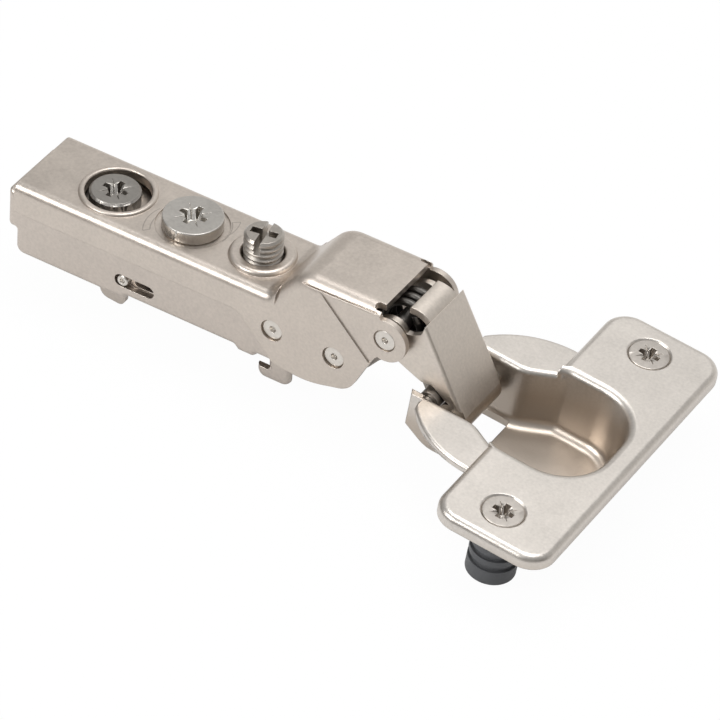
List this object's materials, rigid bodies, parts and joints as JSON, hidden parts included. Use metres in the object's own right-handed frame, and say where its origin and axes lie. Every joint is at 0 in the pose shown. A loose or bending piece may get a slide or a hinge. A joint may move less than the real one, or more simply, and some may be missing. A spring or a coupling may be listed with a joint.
{
  "type": "cranked hinge",
  "caption": "Cranked concealed cabinet hinge, clip-on arm with depth, side and lock screws, two links with a torsion spring, and a pressed cup plate with dowels.",
  "frame": {"origin": "seat of the front hook on the mounting plate, midway between its two cheeks", "axes": "+X along the arm towards the cup, +Y along the pins, +Z out of the cabinet side, the way the screws face"},
  "size_m": [0.1119, 0.0584, 0.0274],
  "materials": {
    "nickel": "satin nickel plate",
    "rivet": "nickel plate",
    "screw": "bright nickel plate",
    "spring": "dark oiled spring steel",
    "link_steel": "satin, darker",
    "dowel_plastic": "matt dark grey"
  },
  "bodies": {
    "base": {"clip_base": "nickel", "latch_pin": "rivet"},
    "lock_screw": {"lock_screw": "screw"},
    "latch": {"release_latch": "nickel", "latch_spring": "spring"},
    "channel": {"adjusting_channel": "nickel"},
    "side_screw": {"side_screw": "screw"},
    "arm": {"arm": "nickel", "spring_anchor_rivet": "rivet", "inner_link_rivet": "rivet", "outer_link_rivet": "rivet", "torsion_spring": "spring"},
    "depth_cam": {"depth_cam": "screw"},
    "outer_link": {"outer_link": "nickel"},
    "cup": {"cup": "nickel", "outer_link_cup_pin": "rivet", "inner_link_cup_pin": "rivet", "dowels": "dowel_plastic", "flange_screws": "screw"},
    "inner_link": {"inner_link": "link_steel"}
  },
  "joints": [
    {"name": "lock_screw_turn", "type": "hinge", "parent": "base", "child": "lock_screw", "pos_m": [-0.0334, 0, 0.0138], "axis": [0, 0, 1], "range_deg": [0, 180]},
    {"name": "latch_press", "type": "hinge", "parent": "base", "child": "latch", "pos_m": [-0.0272, 0, 0.0054], "axis": [0, 1, 0], "range_deg": [0, 12], "stiffness_Nm_per_rad": 0.02},
    {"name": "depth_slide", "type": "slide", "parent": "base", "child": "channel", "axis": [1, 0, 0], "range_m": [-0.0017, 0.0003]},
    {"name": "side_screw_turn", "type": "hinge", "parent": "channel", "child": "side_screw", "pos_m": [-0.0057, 0, 0.0138], "axis": [0, 0, 1], "range_deg": [-375, 375]},
    {"name": "side_tilt", "type": "hinge", "parent": "channel", "child": "arm", "pos_m": [-0.0454, 0, 0.01385], "axis": [0, -1, 0], "range_deg": [-1.5, 1.5]},
    {"name": "depth_cam_turn", "type": "hinge", "parent": "arm", "child": "depth_cam", "pos_m": [-0.0188, 0, 0.0164], "axis": [0, 0, 1], "range_deg": [-102.5, 18.5]},
    {"name": "outer_link_swing", "type": "hinge", "parent": "arm", "child": "outer_link", "pos_m": [0.0214, 0, 0.0175], "axis": [0, -1, 0], "range_deg": [-11.5, 0]},
    {"name": "cup_swing", "type": "hinge", "parent": "outer_link", "child": "cup", "pos_m": [0.03281, 0, 0.00542], "axis": [0, -1, 0], "range_deg": [0, 107.5]},
    {"name": "inner_link_swing", "type": "hinge", "parent": "cup", "child": "inner_link", "pos_m": [0.02937, 0, 0.00847], "axis": [0, -1, 0], "range_deg": [-127.5, 0]}
  ],
  "couplings": [
    {"joint": "outer_link_swing", "follows": "cup_swing", "ratio": -0.10698},
    {"joint": "inner_link_swing", "follows": "cup_swing", "ratio": -1.186},
    {"joint": "depth_cam_turn", "follows": "depth_slide", "rad_per_m": 1047.1},
    {"joint": "side_screw_turn", "follows": "side_tilt", "ratio": -249.4}
  ]
}
